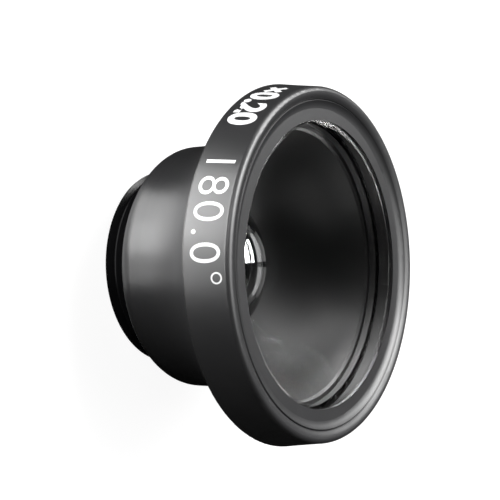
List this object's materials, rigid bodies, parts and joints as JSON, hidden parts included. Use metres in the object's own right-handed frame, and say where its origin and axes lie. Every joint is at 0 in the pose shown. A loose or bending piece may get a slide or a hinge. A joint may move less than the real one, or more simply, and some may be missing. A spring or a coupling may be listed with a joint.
{
  "type": "fisheye phone lens",
  "caption": "Round screw-in fisheye lens for a phone: short threaded stub, flared black barrel with a wide band, dished front ring and a large domed glass over a black bowl.",
  "frame": {"origin": "centre of the rear end face of the threaded stub, on the optical axis", "axes": "+Z along the optical axis from the thread towards the front glass; the lens stands on its stub; the print on the band is on the -Y side, the side the picture shows"},
  "size_m": [0.0302, 0.0302, 0.0176],
  "materials": {
    "satin_black_anodised": "bead-blasted, black anodised, satin",
    "thread_black_anodised": "machined, black anodised, semi-gloss",
    "inner_black_anodised": "matte black anodised",
    "bowl_black": "moulded, satin black",
    "coated_glass": "polished optical glass with an anti-reflection coating",
    "white_print": "pad-printed white ink"
  },
  "bodies": {
    "root": {"thread_mount": "thread_black_anodised", "barrel": "satin_black_anodised", "front_retaining_ring": "satin_black_anodised", "front_glass": "coated_glass", "glass_spacer": "inner_black_anodised", "light_bowl": "bowl_black", "second_lens": "coated_glass", "aperture_stop": "inner_black_anodised", "stop_spacer": "inner_black_anodised", "rear_crown_lens": "coated_glass", "rear_flint_lens": "coated_glass", "rear_retaining_ring": "inner_black_anodised"}
  },
  "joints": []
}
